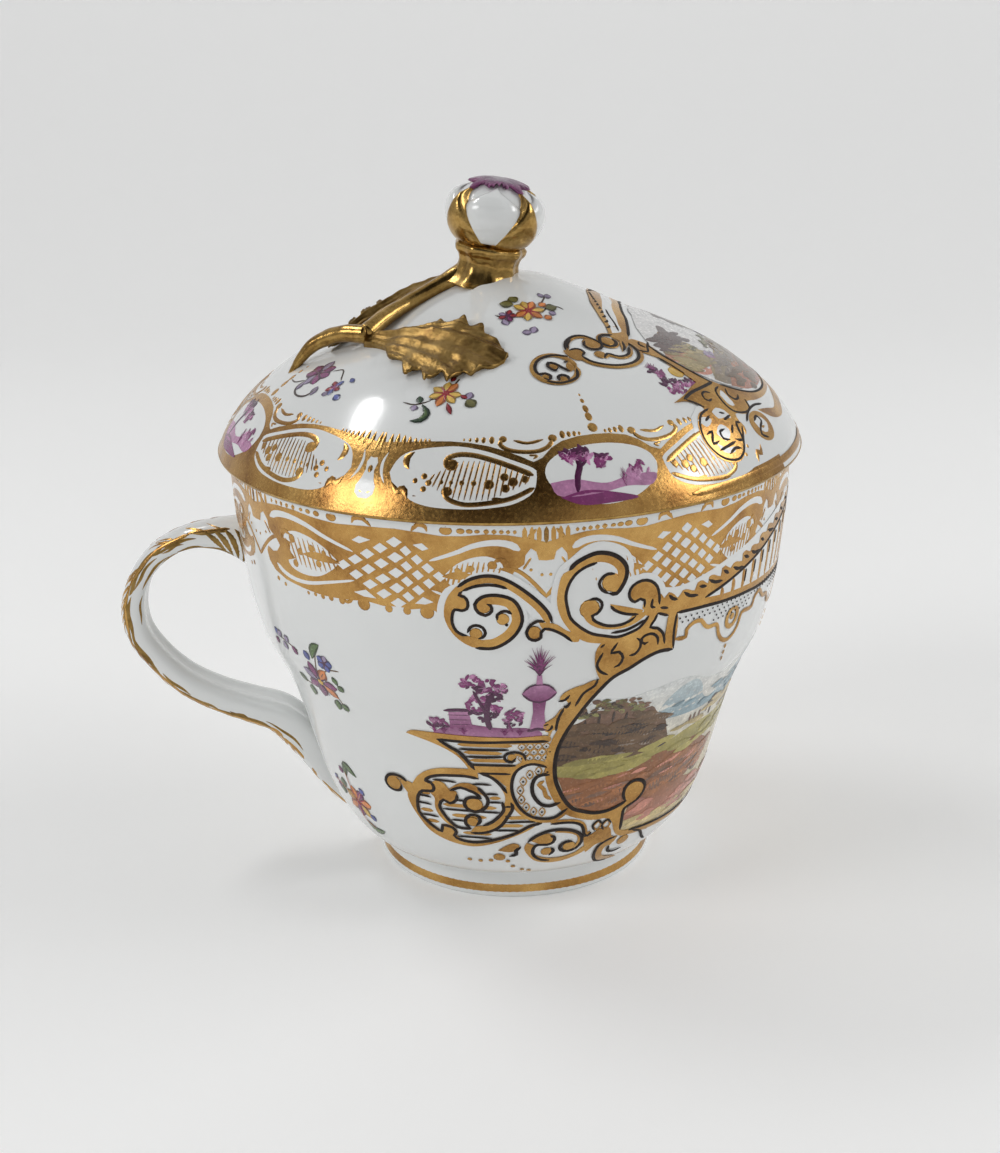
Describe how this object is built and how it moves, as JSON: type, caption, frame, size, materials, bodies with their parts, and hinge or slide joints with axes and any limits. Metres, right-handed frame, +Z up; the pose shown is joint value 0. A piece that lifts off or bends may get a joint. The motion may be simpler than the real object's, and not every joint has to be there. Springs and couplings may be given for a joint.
{
  "type": "chocolate cup",
  "caption": "Covered porcelain chocolate cup: bell-shaped cup with an ear handle and foot ring, and a domed cover with a rose bud finial, stem and leaves.",
  "frame": {"origin": "middle of the foot ring's flat underside, on the table", "axes": "+Z up along the cup's axis, -X towards the handle, +Y away from the viewer of the picture"},
  "size_m": [0.0983, 0.082, 0.0989],
  "materials": {
    "cup_glaze": "gloss",
    "cover_glaze": "gloss",
    "gilding": "polished",
    "enamel": "satin"
  },
  "bodies": {
    "root": {"cup": "cup_glaze", "cover": "cover_glaze"}
  },
  "joints": []
}
